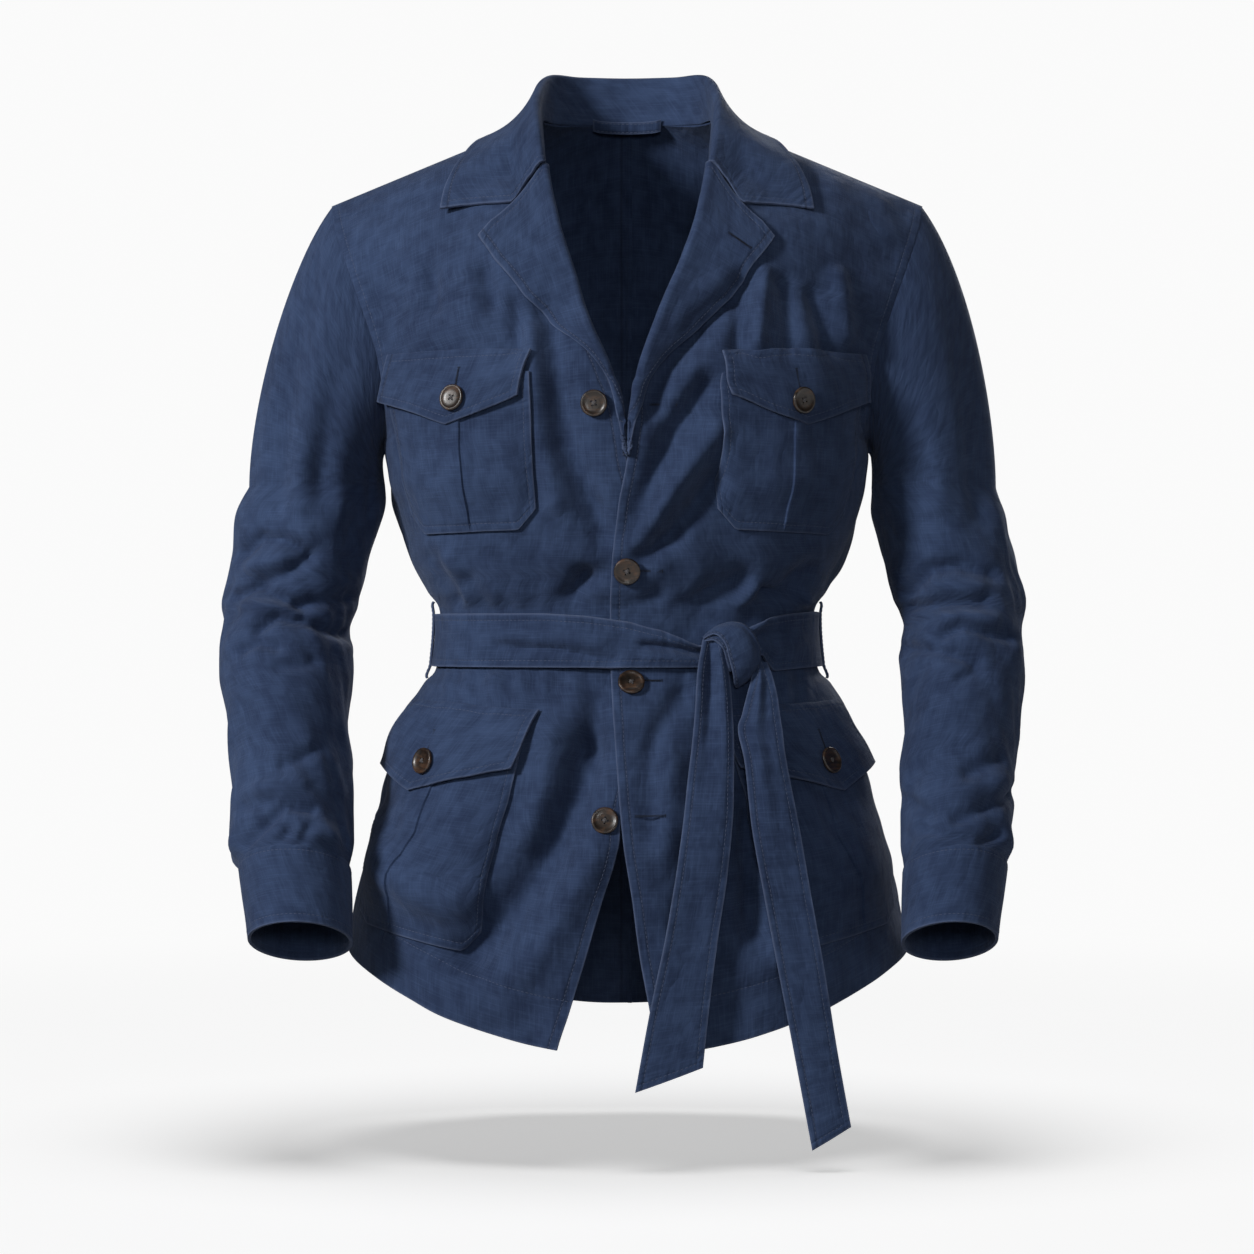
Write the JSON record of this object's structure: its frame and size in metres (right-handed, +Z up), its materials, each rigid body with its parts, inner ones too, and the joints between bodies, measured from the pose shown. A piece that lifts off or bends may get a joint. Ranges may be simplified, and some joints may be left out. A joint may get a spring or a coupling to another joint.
{
  "type": "safari jacket",
  "caption": "Belted linen safari jacket in its worn, hollow form, with notch lapels, flapped bellows pockets, buttoned front and a belt knotted at one side.",
  "frame": {"origin": "midway between the two points where the shoulder seams meet the neck", "axes": "+X to the wearer's left, -Y out of the front, +Z up"},
  "size_m": [0.6212, 0.2935, 0.8175],
  "materials": {
    "linen": "matte woven linen",
    "button_horn": "polished, mottled brown"
  },
  "bodies": {
    "root": {"front_left": "linen", "back_left": "linen", "front_right": "linen", "back_right": "linen", "sleeve_left": "linen", "cuff_left": "linen", "sleeve_right": "linen", "cuff_right": "linen", "lapel_left": "linen", "lapel_right": "linen", "collar": "linen", "chest_pocket_left": "linen", "low_pocket_left": "linen", "chest_flap_left": "linen", "low_flap_left": "linen", "chest_pocket_right": "linen", "low_pocket_right": "linen", "chest_flap_right": "linen", "low_flap_right": "linen", "belt": "linen", "belt_knot": "linen", "belt_end_inner": "linen", "belt_end_outer": "linen", "belt_loop_left": "linen", "belt_loop_right": "linen", "hanger_loop": "linen", "front_button_1": "button_horn", "front_button_2": "button_horn", "front_button_3": "button_horn", "front_button_4": "button_horn", "chest_button_left": "button_horn", "low_button_left": "button_horn", "chest_button_right": "button_horn", "low_button_right": "button_horn"}
  },
  "joints": []
}
